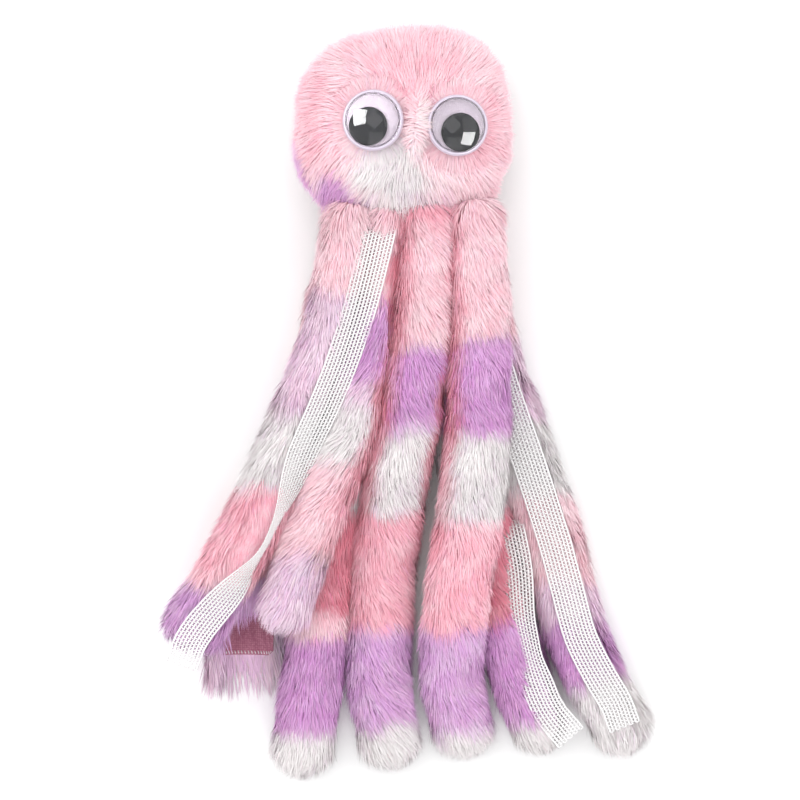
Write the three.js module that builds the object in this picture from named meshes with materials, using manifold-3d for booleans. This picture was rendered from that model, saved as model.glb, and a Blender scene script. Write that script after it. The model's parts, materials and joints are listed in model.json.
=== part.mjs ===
// A plush octopus toy, lying on its back: fur head, eight stuffed fur arms with webbing straps, googly eyes.
// Millimetres. +Z is up and out of the face, +Y points from the arms to the crown of the head.
// The origin is on the resting plane, below the middle of the toy.
import * as THREE from "three";
import { mergeVertices } from "three/addons/utils/BufferGeometryUtils.js";
import Module from "manifold-3d";

const wasm = await Module();
wasm.setup();

// ---- driving dimensions -------------------------------------------------------------------------------

const GAP = 0.4; // clearance between two pieces that touch
const HEAD = { x: -2, y: 163, z: 42, halfWidth: 63, halfLength: 58, halfDepth: 44, squareness: 2.8 };
const HEAD_WALL = 6; // fur pile and backing of the head
const HEAD_FLOOR = 3; // its thickness where the back is pressed flat
const NECK_Y = 116; // where the head's shell ends and its base panel begins
const PANEL = { x: 0, halfWidth: 51, halfHeight: 35, thickness: 3.4 };
const ARM_ROOT_Y = NECK_Y - GAP - PANEL.thickness - GAP;
const SLEEVE_WALL = 5.2; // fur pile and backing of an arm
const STATION = 30; // spacing of the rings along an arm
const SHORTEST_STEP = 4; // least distance between two of those rings

const STRAP = { halfWidth: 10, thickness: 1.2, groove: 2.8, clearance: 0.9 };
// A strap's half-width is at most this share of the arm's radius, in a groove or on the surface.
const STRAP_SHARE = { groove: 0.72, surface: 0.9 };

const EYE = {
  tilt: 0.12, // each eye leans outwards by this many radians
  radius: 18,
  plate: 1.6,
  domeHeight: 8.5,
  domeSkirt: 3,
  domeWall: 0.9,
  flange: 1.2,
  pupilRadius: 11.2,
  pupilThickness: 1.2,
  pupilOffset: 4.5,
};
const EYES = [
  { side: "left", x: -20.1, y: 163.8, z: 83.6, lean: -1, pupilAngle: -2.2 },
  { side: "right", x: 29.1, y: 160.8, z: 83.4, lean: 1, pupilAngle: -1.22 },
];

// An arm's spine runs from the base panel to its tip: x, y, height of the centre, radius.
// A height of FLOOR rests the arm on the plane below it. under: the strap lies in a groove below the arm.
// bend: the y at which a covered arm's free end begins. A strap's angles, in degrees round the arm, and its
// sideways shifts are given at each point of the spine; veer moves its cut end further sideways.
// An open arm ends in a mouth: spread says how much wider, and flatter, it lies at each point of its spine.
const FLOOR = null;
const ARMS = [
  {
    name: "arm_a",
    strap: {
      angles: [90, 72, 54, 38, 76],
      shifts: [18, 8, 0, 0, 0],
      start: 0,
      overhang: 8,
      veer: 0,
    },
    spine: [
      [-32, ARM_ROOT_Y, 60, 11],
      [-46, 40, 50, 14],
      [-73, -30, 48.5, 16],
      [-98, -86, 48.5, 16],
      [-127, -132, 48, 15.5],
    ],
  },
  {
    name: "arm_b",
    under: true,
    spread: [1, 1, 1, 1, 1.35, 1.6],
    spine: [
      [-35, ARM_ROOT_Y, 24, 12],
      [-50, 30, FLOOR, 15],
      [-72, -40, FLOOR, 16],
      [-94, -96, FLOOR, 16.5],
      [-99, -132, FLOOR, 16.5],
      [-99, -157, FLOOR, 15.6],
    ],
  },
  {
    name: "arm_c",
    under: true,
    bend: -34,
    spine: [
      [-11.3, ARM_ROOT_Y, 60, 9.3],
      [-19.5, 40, 47, 11],
      [-38, -30, 45, 13.5],
      [-57.5, -78, 45, 12.8],
      [-71.5, -120, 45, 12.5],
    ],
  },
  {
    name: "arm_d",
    under: true,
    bend: -150,
    spine: [
      [-11, ARM_ROOT_Y, 24, 11.4],
      [-19, 30, FLOOR, 15],
      [-37, -42, FLOOR, 16],
      [-51.5, -102, FLOOR, 16],
      [-56, -160, FLOOR, 16],
      [-64, -208, FLOOR, 15.5],
    ],
  },
  {
    name: "arm_e",
    under: true,
    spine: [
      [11.6, ARM_ROOT_Y, 60, 12.8],
      [8, 35, 48, 15],
      [-6, -42, 36, 16.5],
      [-15, -102, FLOOR, 16.5],
      [-18, -168, FLOOR, 16.5],
      [-12, -204, FLOOR, 15],
    ],
  },
  {
    name: "arm_f",
    under: true,
    spine: [
      [39.2, ARM_ROOT_Y, 60, 13.4],
      [43, 30, 50, 15.5],
      [40, -45, 48.5, 16.5],
      [32, -102, 45.5, 16.5],
      [27, -140, 30, 16.5],
      [27, -172, FLOOR, 16],
      [34, -197, FLOOR, 15],
    ],
  },
  {
    name: "arm_g",
    bend: -148,
    strap: {
      angles: [34, 34, 34, 40, 64, 84],
      shifts: [0, 0, 0, 0, 0, 6],
      start: -62,
      overhang: 4,
      veer: 10,
    },
    spine: [
      [14, ARM_ROOT_Y, 24, 12],
      [19, 30, FLOOR, 14.5],
      [39, -45, FLOOR, 15.5],
      [53, -102, FLOOR, 15.5],
      [62, -148, FLOOR, 15.5],
      [79, -194, FLOOR, 15],
    ],
  },
  {
    name: "arm_h",
    strap: {
      angles: [90, 90, 90, 90, 85, 80],
      shifts: [0, 0, 0, 0, 0, 0],
      start: 0,
      overhang: -6,
      veer: 0,
    },
    spine: [
      [38, ARM_ROOT_Y, 24, 11.5],
      [51, 30, FLOOR, 15],
      [75, -42, FLOOR, 16.5],
      [92, -96, FLOOR, 16.5],
      [105, -150, FLOOR, 16.5],
      [131, -195, FLOOR, 15],
    ],
  },
];

// ---- materials ----------------------------------------------------------------------------------------

const material = (color, roughness, extra = {}) =>
  new THREE.MeshStandardMaterial({ color, roughness, metalness: 0, ...extra });
const FUR_PINK = material(0xf3c2cc, 0.95);
const FUR_ROSE = material(0xe9a3b0, 0.95);
const STUFFING = material(0xf4f2ee, 1);
const LINING = material(0xb9788a, 0.9);
const WEBBING = material(0xf1efec, 0.8);
const EYE_PLATE = material(0xe9dff0, 0.35);
const EYE_DOME = material(0xf6f4fa, 0.05, { transparent: true, opacity: 0.35 });
const PUPIL = material(0x141416, 0.4);

// ---- meshes -------------------------------------------------------------------------------------------

const toy = new THREE.Group();

function addMesh(name, geometry, finish) {
  const mesh = new THREE.Mesh(geometry, finish);
  mesh.name = name;
  toy.add(mesh);
}

function solidOf(geometry) {
  const bare = geometry.clone();
  bare.deleteAttribute("normal");
  bare.deleteAttribute("uv");
  const merged = mergeVertices(bare, 1e-4);
  const vertProperties = new Float32Array(merged.attributes.position.array);
  const triVerts = new Uint32Array(merged.index.array);
  return new wasm.Manifold(new wasm.Mesh({ numProp: 3, vertProperties, triVerts }));
}

function geometryOf(solid) {
  const mesh = solid.getMesh();
  const geometry = new THREE.BufferGeometry();
  geometry.setAttribute("position", new THREE.BufferAttribute(mesh.vertProperties, 3));
  geometry.setIndex(new THREE.BufferAttribute(mesh.triVerts, 1));
  geometry.computeVertexNormals();
  return geometry;
}

function boxBetween(low, high) {
  const size = new THREE.Vector3().subVectors(high, low);
  const middle = new THREE.Vector3().addVectors(low, high).multiplyScalar(0.5);
  return new THREE.BoxGeometry(size.x, size.y, size.z).translate(middle.x, middle.y, middle.z);
}

// A closed skin over rings of points: each two neighbouring rings are joined, and both ends are capped.
function skin(rings) {
  const positions = [];
  const index = [];
  const count = rings[0].length;
  rings.forEach((ring) => ring.forEach((p) => positions.push(p.x, p.y, p.z)));
  const points = rings.flat();
  for (let here = 0; here < points.length - count; here += count) {
    for (let i = 0; i < count; i += 1) {
      const next = (i + 1) % count;
      index.push(...splitQuad(points, here + i, here + next, here + count + next, here + count + i));
    }
  }
  capRing(positions, index, rings[0], 0, true);
  capRing(positions, index, rings[rings.length - 1], points.length - count, false);
  const geometry = new THREE.BufferGeometry();
  geometry.setAttribute("position", new THREE.Float32BufferAttribute(positions, 3));
  geometry.setIndex(index);
  geometry.computeVertexNormals();
  return geometry;
}

// Two triangles for a quad, split along its shorter diagonal, so that two parallel bands split alike.
function splitQuad(points, a, b, c, d) {
  const acIsShort = points[a].distanceTo(points[c]) <= points[b].distanceTo(points[d]);
  return acIsShort ? [a, b, c, a, c, d] : [a, b, d, b, c, d];
}

function capRing(positions, index, ring, offset, first) {
  const middle = new THREE.Vector3();
  ring.forEach((p) => middle.addScaledVector(p, 1 / ring.length));
  const centre = positions.length / 3;
  positions.push(middle.x, middle.y, middle.z);
  ring.forEach((p, i) => {
    const a = offset + i;
    const b = offset + ((i + 1) % ring.length);
    index.push(...(first ? [centre, b, a] : [centre, a, b]));
  });
}

// ---- arms ---------------------------------------------------------------------------------------------

const GROOVE_LIP = 0.86; // height of the strap side of a grooved arm, as a share of its radius
const TIP_ANGLES = [0.6, 1.15]; // where the rings of a round tip lie, in radians from its widest ring
const FILLED_SPREAD = 1.3; // an open arm is empty where it lies wider than this

// Outlines of an arm's section, as shares of its radius, anticlockwise seen from the arm's root.
function polygon(sides) {
  return Array.from({ length: sides }, (_, i) => {
    const angle = ((2 * i + 1) * Math.PI) / sides;
    return [Math.cos(angle), Math.sin(angle)];
  });
}
const ROUND = polygon(12);
const ROUND_FOOT = Math.cos(Math.PI / 12);
const BORE = polygon(8);

function groovedSection(radius) {
  const half = (Math.min(STRAP.halfWidth, STRAP_SHARE.groove * radius) + STRAP.clearance) / radius;
  const floor = GROOVE_LIP - STRAP.groove / radius;
  const right = [
    [half, -floor],
    [half, -GROOVE_LIP],
    [0.85, -GROOVE_LIP + 0.03],
    [1, -0.25],
    [0.93, 0.4],
    [0.64, 0.79],
    [0.22, 0.98],
  ];
  const left = right.map(([u, v]) => [-u, v]).reverse();
  return [...right, ...left];
}

const plainSection = () => ROUND;
const boreSection = () => BORE;

// A frame along an arm: the middle, the way across (level) and the way up, both square to the spine.
function framesOf(arm) {
  const foot = arm.under ? GROOVE_LIP : ROUND_FOOT;
  const slack = 2;
  const points = arm.spine.map(([x, y, z, r]) => new THREE.Vector3(x, y, z === FLOOR ? foot * r : z));
  const curve = new THREE.CatmullRomCurve3(points, false, "centripetal");
  const lengths = points.map((_, i) => lengthTo(curve, i / (points.length - 1)));
  const total = curve.getLength();
  const count = Math.round(total / STATION);
  const stations = Array.from({ length: count + 1 }, (_, i) => (total * i) / count);
  return stations.map((length, i) => {
    const share = Math.min(length / total, 1);
    const middle = curve.getPointAt(share);
    const along = curve.getTangentAt(share);
    if (i === 0) along.set(0, -1, 0);
    const radius = interpolate(lengths, arm.spine.map((p) => p[3]), length);
    const spread = arm.spread ? interpolate(lengths, arm.spread, length) : 1;
    const rest = (foot * radius) / spread;
    const onFloor = arm.spine[nearest(lengths, length)][2] === FLOOR;
    if (onFloor && (spread > 1 || middle.z < rest + slack)) middle.z = rest;
    const across = new THREE.Vector3(0, 0, 1).cross(along).normalize();
    const up = new THREE.Vector3().crossVectors(along, across);
    const turn = arm.strap ? interpolate(lengths, arm.strap.angles, length) : 0;
    const shift = arm.strap ? interpolate(lengths, arm.strap.shifts, length) : 0;
    return { middle, along, across, up, radius, spread, length, turn, shift };
  });
}

function lengthTo(curve, share) {
  const steps = 200;
  const lengths = curve.getLengths(steps);
  return lengths[Math.round(share * steps)];
}

function interpolate(stops, values, at) {
  let i = 1;
  while (i < stops.length - 1 && stops[i] < at) i += 1;
  const share = THREE.MathUtils.clamp((at - stops[i - 1]) / (stops[i] - stops[i - 1]), 0, 1);
  return THREE.MathUtils.lerp(values[i - 1], values[i], share);
}

function nearest(stops, at) {
  return stops.reduce((best, stop, i) => (Math.abs(stop - at) < Math.abs(stops[best] - at) ? i : best), 0);
}

function place(frame, u, v) {
  const { middle, across, up, spread } = frame;
  return middle.clone().addScaledVector(across, u * spread).addScaledVector(up, v / spread);
}

function ringAt(frame, section, scale, ahead = 0) {
  const middle = frame.middle.clone().addScaledVector(frame.along, ahead);
  return section.map(([u, v]) => place({ ...frame, middle }, u * scale, v * scale));
}

// Rings of an arm's outline, with a round tip where its last frame is the arm's end.
function outline(frames, sectionOf, inset, roundTip) {
  const rings = frames.map((f) => ringAt(f, sectionOf(f.radius), f.radius - inset));
  if (roundTip) {
    const last = frames[frames.length - 1];
    const radius = last.radius - inset;
    for (const angle of TIP_ANGLES) {
      rings.push(ringAt(last, sectionOf(last.radius), radius * Math.cos(angle), radius * Math.sin(angle)));
    }
  }
  return rings;
}

// A hollow length of arm. Its bore runs on past each sewn or cut end, so that it opens there.
function sleeve(frames, sectionOf, roundTip) {
  const past = 2;
  const first = frames[0];
  const last = frames[frames.length - 1];
  const bore = outline(frames, boreSection, SLEEVE_WALL, roundTip);
  bore.unshift(ringAt(first, BORE, first.radius - SLEEVE_WALL, -past));
  if (!roundTip) bore.push(ringAt(last, BORE, last.radius - SLEEVE_WALL, past));
  const outer = skin(outline(frames, sectionOf, 0, roundTip));
  return geometryOf(solidOf(outer).subtract(solidOf(skin(bore))));
}

function filling(frames, roundTip) {
  return skin(outline(frames, boreSection, SLEEVE_WALL + GAP, roundTip));
}

// A webbing strap in the groove below an arm.
function groovedStrap(frames) {
  const rings = frames.map((f) => {
    const half = Math.min(STRAP.halfWidth, STRAP_SHARE.groove * f.radius) / f.spread;
    const top = -GROOVE_LIP * f.radius + STRAP.groove - STRAP.clearance;
    const low = top - STRAP.thickness;
    return [place(f, half, low), place(f, half, top), place(f, -half, top), place(f, -half, low)];
  });
  return skin(rings);
}

// A webbing strap lying on an arm's surface, at the angle round the arm that each frame's turn gives.
function surfaceStrap(frames, overhang, veer) {
  const rings = frames.map((f) => strapRing(f, 0, f.shift));
  if (overhang > 0) {
    const last = frames[frames.length - 1];
    rings.push(strapRing(last, last.radius + overhang, last.shift + veer));
  }
  return skin(rings);
}

function strapRing(frame, ahead, aside) {
  const angle = THREE.MathUtils.degToRad(frame.turn);
  const low = frame.radius + STRAP.clearance;
  const high = low + STRAP.thickness;
  const half = Math.min(STRAP.halfWidth, STRAP_SHARE.surface * frame.radius);
  const middle = frame.middle.clone().addScaledVector(frame.along, ahead);
  middle.addScaledVector(frame.across, aside);
  const corner = (out, side) => {
    const u = out * Math.cos(angle) - side * Math.sin(angle);
    const v = out * Math.sin(angle) + side * Math.cos(angle);
    return place({ ...frame, middle }, u, v);
  };
  return [corner(low, -half), corner(high, -half), corner(high, half), corner(low, half)];
}

// Splits an arm's frames at its bend, leaving a gap there. An arm with no bend is one length.
function lengthsOf(arm, frames) {
  if (arm.bend === undefined) return [{ suffix: "", frames, tip: arm.spread === undefined }];
  const after = frames.findIndex((f) => f.middle.y < arm.bend);
  const before = frames[after - 1];
  const share = (before.middle.y - arm.bend) / (before.middle.y - frames[after].middle.y);
  const end = blendFrame(before, frames[after], share);
  const start = { ...end, middle: end.middle.clone().addScaledVector(end.along, GAP) };
  const upper = [...frames.slice(0, after).filter((f) => end.length - f.length > SHORTEST_STEP), end];
  const lower = [start, ...frames.slice(after).filter((f) => f.length - end.length > SHORTEST_STEP)];
  return [
    { suffix: "_upper", frames: upper, tip: false },
    { suffix: "_lower", frames: lower, tip: true },
  ];
}

function blendFrame(a, b, share) {
  const middle = a.middle.clone().lerp(b.middle, share);
  const along = a.along.clone().lerp(b.along, share).normalize();
  const across = new THREE.Vector3(0, 0, 1).cross(along).normalize();
  const up = new THREE.Vector3().crossVectors(along, across);
  const mix = (key) => THREE.MathUtils.lerp(a[key], b[key], share);
  const mixed = { radius: mix("radius"), length: mix("length"), turn: mix("turn"), shift: mix("shift") };
  return { middle, along, across, up, spread: 1, ...mixed };
}

function addArm(arm) {
  const frames = framesOf(arm);
  for (const part of lengthsOf(arm, frames)) {
    const section = arm.under ? groovedSection : plainSection;
    const finish = arm.under ? FUR_PINK : FUR_ROSE;
    addMesh(`${arm.name}_fur${part.suffix}`, sleeve(part.frames, section, part.tip), finish);
    const filled = part.frames.filter((f) => f.spread < FILLED_SPREAD);
    addMesh(`${arm.name}_stuffing${part.suffix}`, filling(filled, part.tip), STUFFING);
    if (arm.under) {
      addMesh(`${arm.name}_strap${part.suffix}`, groovedStrap(part.frames), WEBBING);
      continue;
    }
    const { start, overhang, veer } = arm.strap;
    const shown = part.frames.filter((f) => start === 0 || f.middle.y < start);
    const strap = surfaceStrap(shown, part.tip ? overhang : 0, veer);
    addMesh(`${arm.name}_strap${part.suffix}`, strap, WEBBING);
  }
}

ARMS.forEach(addArm);

// ---- head ---------------------------------------------------------------------------------------------

// A rounded box-like form: each direction's radius follows |x/a|^n + |y/b|^n + |z/c|^n = 1.
function roundedForm(inset, across, down) {
  const geometry = new THREE.SphereGeometry(1, across, down).rotateX(Math.PI / 2);
  const p = geometry.attributes.position;
  const n = HEAD.squareness;
  const size = [HEAD.halfWidth - inset, HEAD.halfLength - inset, HEAD.halfDepth - inset];
  for (let i = 0; i < p.count; i += 1) {
    const way = [p.getX(i), p.getY(i), p.getZ(i)];
    const sum = way.reduce((total, w) => total + Math.abs(w) ** n, 0);
    const reach = sum ** (-1 / n);
    p.setXYZ(i, ...way.map((w, k) => w * reach * size[k]));
  }
  return solidOf(geometry.translate(HEAD.x, HEAD.y, HEAD.z));
}

const FAR = 300;
const block = (...corners) => solidOf(boxBetween(...corners.map((c) => new THREE.Vector3(...c))));
const aboveNeck = block([-FAR, NECK_Y, 0], [FAR, FAR, FAR]);
const slab = (low, high) => block([-FAR, -FAR, low], [FAR, FAR, high]);

function eyePose(eye) {
  const turn = new THREE.Matrix4().makeRotationY(eye.lean * EYE.tilt);
  return new THREE.Matrix4().makeTranslation(eye.x, eye.y, eye.z).multiply(turn);
}

function eyeSeat(eye) {
  const depth = 30;
  const radius = EYE.radius + GAP;
  const seat = new THREE.CylinderGeometry(radius, radius, depth, 24).rotateX(Math.PI / 2);
  return solidOf(seat.translate(0, 0, depth / 2 - GAP).applyMatrix4(eyePose(eye)));
}

const outerForm = roundedForm(0, 28, 18);
const innerForm = roundedForm(HEAD_WALL, 20, 12).intersect(slab(HEAD_FLOOR, FAR));
const fillForm = roundedForm(HEAD_WALL + GAP, 20, 12).intersect(slab(HEAD_FLOOR + GAP, FAR));
let headShell = outerForm.subtract(innerForm).intersect(aboveNeck);
EYES.forEach((eye) => {
  headShell = headShell.subtract(eyeSeat(eye));
});
addMesh("head_fur_front", geometryOf(headShell.intersect(slab(HEAD.z + GAP / 2, FAR))), FUR_PINK);
addMesh("head_fur_back", geometryOf(headShell.intersect(slab(-FAR, HEAD.z - GAP / 2))), FUR_ROSE);
let headFilling = fillForm.intersect(aboveNeck);
EYES.forEach((eye) => {
  headFilling = headFilling.subtract(eyeSeat(eye));
});
addMesh("head_stuffing", geometryOf(headFilling), STUFFING);

function basePanel() {
  const steps = 36;
  const n = HEAD.squareness;
  const shape = new THREE.Shape(
    Array.from({ length: steps }, (_, i) => {
      const angle = (2 * Math.PI * i) / steps;
      const c = Math.cos(angle);
      const s = Math.sin(angle);
      const reach = (Math.abs(c) ** n + Math.abs(s) ** n) ** (-1 / n);
      return new THREE.Vector2(c * reach * PANEL.halfWidth, s * reach * PANEL.halfHeight);
    }),
  );
  const plate = new THREE.ExtrudeGeometry(shape, { depth: PANEL.thickness, bevelEnabled: false });
  return plate.rotateX(Math.PI / 2).translate(PANEL.x, NECK_Y - GAP, HEAD.z);
}
addMesh("head_base_panel", geometryOf(solidOf(basePanel())), LINING);

// ---- eyes ---------------------------------------------------------------------------------------------

function lathe(profile, segments) {
  const points = profile.map(([r, z]) => new THREE.Vector2(r, z));
  return new THREE.LatheGeometry(points, segments).rotateX(Math.PI / 2);
}

function addEye(eye) {
  const pose = eyePose(eye);
  const rim = EYE.radius;
  const base = EYE.plate + GAP;
  const plate = lathe([[0, 0], [rim, 0], [rim, EYE.plate], [0, EYE.plate]], 24);
  addMesh(`eye_${eye.side}_back_plate`, geometryOf(solidOf(plate)).applyMatrix4(pose), EYE_PLATE);

  const inner = rim - EYE.flange - EYE.domeWall;
  const top = base + EYE.domeHeight;
  const dome = [[rim, base], [rim, base + EYE.domeWall], [rim - EYE.flange, base + EYE.domeWall]];
  const arcSteps = 4;
  const outerStart = base + EYE.domeSkirt;
  for (let i = 0; i <= arcSteps; i += 1) {
    const angle = ((Math.PI / 2) * i) / arcSteps;
    const rise = top - outerStart;
    dome.push([(rim - EYE.flange) * Math.cos(angle), outerStart + rise * Math.sin(angle)]);
  }
  for (let i = arcSteps; i >= 0; i -= 1) {
    const angle = ((Math.PI / 2) * i) / arcSteps;
    const rise = top - EYE.domeWall - outerStart;
    dome.push([inner * Math.cos(angle), outerStart + rise * Math.sin(angle)]);
  }
  dome.push([inner, base], [rim, base]);
  const clear = dome.map(([r, z]) => [Math.abs(r) < 1e-9 ? 0 : r, z]);
  addMesh(`eye_${eye.side}_dome`, geometryOf(solidOf(lathe(clear, 24))).applyMatrix4(pose), EYE_DOME);

  const disc = new THREE.CylinderGeometry(EYE.pupilRadius, EYE.pupilRadius, EYE.pupilThickness, 24);
  const across = EYE.pupilOffset * Math.cos(eye.pupilAngle);
  const down = EYE.pupilOffset * Math.sin(eye.pupilAngle);
  disc.rotateX(Math.PI / 2).translate(across, down, EYE.plate + GAP + EYE.pupilThickness / 2);
  addMesh(`eye_${eye.side}_pupil`, geometryOf(solidOf(disc)).applyMatrix4(pose), PUPIL);
}

EYES.forEach(addEye);

// The origin goes below the middle of the toy's box.
const box = new THREE.Box3().setFromObject(toy);
const middle = box.getCenter(new THREE.Vector3());
toy.position.set(-middle.x, -middle.y, -box.min.z);

export default toy;
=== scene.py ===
import json
import math

import bmesh
import bpy
import numpy as np
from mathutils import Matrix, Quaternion, Vector


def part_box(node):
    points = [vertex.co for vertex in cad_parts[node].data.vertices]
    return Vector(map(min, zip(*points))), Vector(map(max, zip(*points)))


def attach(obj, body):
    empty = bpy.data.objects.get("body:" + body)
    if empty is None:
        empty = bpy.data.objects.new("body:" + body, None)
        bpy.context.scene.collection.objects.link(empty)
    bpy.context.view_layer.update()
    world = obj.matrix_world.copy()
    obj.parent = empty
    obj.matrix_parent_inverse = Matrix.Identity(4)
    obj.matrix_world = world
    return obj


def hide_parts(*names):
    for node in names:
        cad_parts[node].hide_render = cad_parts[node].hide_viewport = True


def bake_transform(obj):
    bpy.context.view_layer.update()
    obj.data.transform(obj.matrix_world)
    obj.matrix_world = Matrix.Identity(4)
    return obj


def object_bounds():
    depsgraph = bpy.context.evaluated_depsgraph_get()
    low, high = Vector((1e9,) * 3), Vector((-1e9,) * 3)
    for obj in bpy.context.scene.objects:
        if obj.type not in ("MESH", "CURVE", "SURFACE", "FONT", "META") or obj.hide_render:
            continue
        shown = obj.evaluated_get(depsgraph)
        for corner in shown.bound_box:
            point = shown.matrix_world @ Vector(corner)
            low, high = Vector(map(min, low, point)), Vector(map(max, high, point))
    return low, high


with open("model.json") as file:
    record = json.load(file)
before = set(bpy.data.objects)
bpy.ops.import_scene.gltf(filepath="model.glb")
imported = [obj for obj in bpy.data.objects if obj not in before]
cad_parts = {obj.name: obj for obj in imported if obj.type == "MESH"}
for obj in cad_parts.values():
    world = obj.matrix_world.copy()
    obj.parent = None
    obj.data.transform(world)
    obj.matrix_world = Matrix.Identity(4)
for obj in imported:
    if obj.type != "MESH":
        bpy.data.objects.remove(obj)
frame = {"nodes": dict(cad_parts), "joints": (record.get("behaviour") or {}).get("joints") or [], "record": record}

CAD_LOW, CAD_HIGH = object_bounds()
MM = 0.001

# ---- driving values -----------------------------------------------------------------------------------

ARMS = "abcdefgh"
SPLIT_ARMS = "cdg"  # their CAD nodes come in an upper and a lower part, which meet at a bend
OPEN_ARMS = "b"  # this one ends in a wide, empty mouth
STEP = 3 * MM  # spacing of the rings along an arm
FLOOR_GAP = 0.4 * MM
SKIN_SHARE = 0.8  # radius of an arm's fabric, as a share of the CAD sleeve, whose wall holds the pile
FABRIC = 1.2 * MM
HEAD_SQUARENESS = 2.5
HEAD_INSET = 6.5 * MM
PILE = 16 * MM
PILE_DENSITY = 2.5 / MM**2
HIDDEN_SHARE = 0.35  # share of that density on the undersides
HAIR_WIDTH = 0.6 * MM
LEAN_SPREAD = 0.12  # how much the hairs' leans differ, as a share
FLOW_SPREAD = 0.22  # how much they stray from the way the fur is combed
ROLL_SPREAD = 0.25  # how much their flat sides turn, in radians
TUFT_SHARES = (0.24, 0.12)  # how far the tips are drawn into their small and large tufts
# What a hair is shaded by: the skin's normal, its own, and the sky above, in these shares.
SKIN_LIGHT, OWN_LIGHT, SKY_LIGHT = 0.85, 0.18, 0.3
DOWNWARD_LIGHT = 0.4  # a normal that points down keeps this share of its slope
TIP_PAINTED_LIGHT = 0.12  # how much white is mixed into the outer half of a hair, as painted light on the tips
STRAP_WIDTH = 20 * MM
PRESS_DEPTH = 16 * MM  # a strap presses down the fur this close to it
PRESS_HALF_WIDTH = 8.5 * MM  # and no more this far from its middle
PRESS_EDGE = 3 * MM

# Dyes, as 8-bit sRGB.
DYES = {
    "white": (233, 229, 229),
    "blush": (251, 212, 220),
    "pink": (252, 189, 203),
    "rose": (230, 130, 150),
    "violet": (212, 152, 210),
    "mauve": (220, 173, 221),
    "lilac": (236, 206, 226),
}
# Which dyes run into each other, and so the shades between them.
LADDERS = (
    ("white", "blush"),
    ("blush", "pink"),
    ("pink", "rose"),
    ("white", "lilac"),
    ("lilac", "violet"),
    ("blush", "lilac"),
    ("pink", "violet"),
    ("pink", "mauve"),
    ("white", "mauve"),
    ("rose", "violet"),
)
# Darker, plain and lighter copies of every shade. They take up the hairs' random tone, and also the painted shade
# at their roots and the painted light at their tips.
TONES = {"deep": 0.86, "mid": 1.0, "light": 1.06}

# Each arm's dye at its root, and the levels along Y, in mm, below which the next one starts.
BANDS = {
    "a": ("blush", (64, "lilac"), (-8, "white"), (-55, "pink"), (-104, "blush"), (-112, "mauve")),
    "b": ("blush", (10, "lilac"), (-20, "white"), (-60, "pink"), (-105, "mauve"), (-150, "lilac")),
    "c": ("blush", (58, "violet"), (12, "lilac"), (-4, "white"), (-38, "blush"), (-94, "lilac")),
    # d starts in rose where it lies under c and e at the neck, a darker dye there as painted shade.
    "d": (
        "rose", (40, "violet"), (-20, "white"), (-66, "rose"),
        (-128, "blush"), (-143, "violet"), (-202, "white"),
    ),
    "e": (
        "pink", (100, "blush"), (35, "violet"), (-17, "white"),
        (-66, "pink"), (-137, "mauve"), (-199, "white"),
    ),
    "f": ("blush", (39, "violet"), (-20, "white"), (-71, "pink"), (-137, "mauve"), (-200, "white")),
    # g starts in rose where it lies under e and f, a darker dye there as painted shade.
    "g": ("rose", (40, "violet"), (-20, "white"), (-66, "rose"), (-132, "violet"), (-196, "white")),
    "h": (
        "blush", (40, "lilac"), (-12, "white"), (-56, "blush"),
        (-112, "lilac"), (-136, "violet"), (-170, "white"),
    ),
}
BAND_BLUR = 14 * MM
DYE_DRIFT = 8 * MM  # a hair's tip lies about this much lower along Y than its root, and the tips show
# The sides of the arms, -1 left and 1 right, whose fur is tinted rose where they meet their neighbours, as painted
# shade in the crevice between them.
CREVICE_SHADE_SIDES = {"c": (1,), "e": (-1, 1), "f": (-1,)}
CREVICE_SHADE_END = -110 * MM  # the level along Y where that painted crevice shade has faded out


def linear(rgb):
    """A colour from 8-bit sRGB to linear."""
    c = np.array(rgb, float) / 255
    return np.where(c <= 0.04045, c / 12.92, ((c + 0.055) / 1.055) ** 2.4)


DYE = {name: linear(rgb) for name, rgb in DYES.items()}


def seeded(name):
    return np.random.default_rng(sum((i + 1) * ord(c) for i, c in enumerate(name)))


def unit(v):
    return v / np.maximum(np.linalg.norm(v, axis=-1, keepdims=True), 1e-12)


def smooth(x):
    x = np.clip(x, 0, 1)
    return x * x * (3 - 2 * x)


def ripple(points, size, seed, waves=7):
    """Smooth noise from -1 to 1 at points, with features of about that size."""
    rng = np.random.default_rng(seed)
    ways = unit(rng.normal(size=(waves, points.shape[1]))) * rng.uniform(0.7, 1.6, (waves, 1))
    phases = rng.uniform(0, 2 * np.pi, waves)
    total = np.sin(points @ ways.T * (np.pi / size) + phases).sum(1)
    return np.clip(total / math.sqrt(waves) / 1.3, -1, 1)


# ---- meshes -------------------------------------------------------------------------------------------


def make_piece(name, vertices, faces, materials, indices=None, normals=None):
    """A mesh object from arrays: faces is a list of (n, k) arrays, one for each number of corners."""
    mesh = bpy.data.meshes.new(name)
    faces = [np.asarray(f, np.int32) for f in faces if len(f)]
    corners = np.concatenate([f.ravel() for f in faces])
    counts = np.concatenate([np.full(len(f), f.shape[1], np.int32) for f in faces])
    mesh.vertices.add(len(vertices))
    mesh.vertices.foreach_set("co", np.asarray(vertices, np.float32).ravel())
    mesh.loops.add(len(corners))
    mesh.loops.foreach_set("vertex_index", corners)
    mesh.polygons.add(len(counts))
    mesh.polygons.foreach_set("loop_start", np.concatenate([[0], np.cumsum(counts)[:-1]]).astype(np.int32))
    if indices is not None:
        mesh.polygons.foreach_set("material_index", np.asarray(indices, np.int32))
    mesh.update(calc_edges=True)
    if normals is not None:
        mesh.normals_split_custom_set_from_vertices(normals)
    for material in materials:
        mesh.materials.append(material)
    piece = bpy.data.objects.new(name, mesh)
    bpy.context.scene.collection.objects.link(piece)
    return piece


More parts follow.
